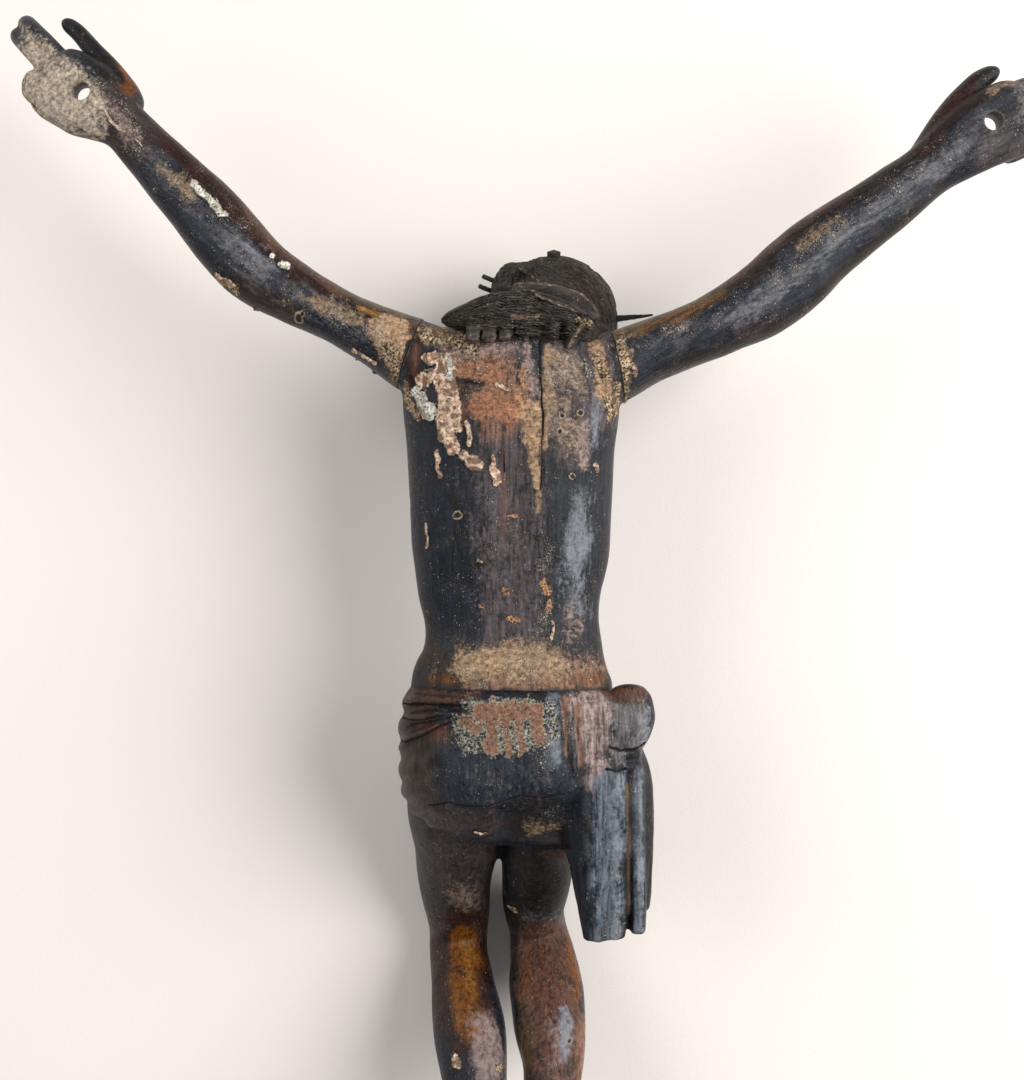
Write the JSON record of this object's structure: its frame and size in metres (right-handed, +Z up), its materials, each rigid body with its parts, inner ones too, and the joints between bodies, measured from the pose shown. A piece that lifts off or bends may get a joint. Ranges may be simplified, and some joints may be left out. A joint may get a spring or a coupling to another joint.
{
  "type": "crucifix_corpus",
  "caption": "Old carved and painted wooden crucifix figure with outstretched arms, loincloth and crown of thorns, taken off its cross and lying face down",
  "frame": {"origin": "Middle of the underside of the whole figure's box, on the surface that it lies on", "axes": "+Y runs up the figure to its head, +X is the figure's right, +Z points up out of its back"},
  "size_m": [0.5094, 0.6566, 0.114],
  "materials": {
    "lacquered_wood": "old dark lacquer over gesso, glossy where whole, flaked and worn to bare wood in patches",
    "dark_wood": "dark stained bare wood, matt"
  },
  "bodies": {
    "root": {"body": "lacquered_wood", "left_arm": "lacquered_wood", "right_arm": "lacquered_wood", "thorn_left_upper": "dark_wood", "thorn_left_lower": "dark_wood", "thorn_top_stub": "dark_wood", "thorn_right_long": "dark_wood", "thorn_front_left": "dark_wood", "thorn_front_right": "dark_wood"}
  },
  "joints": []
}
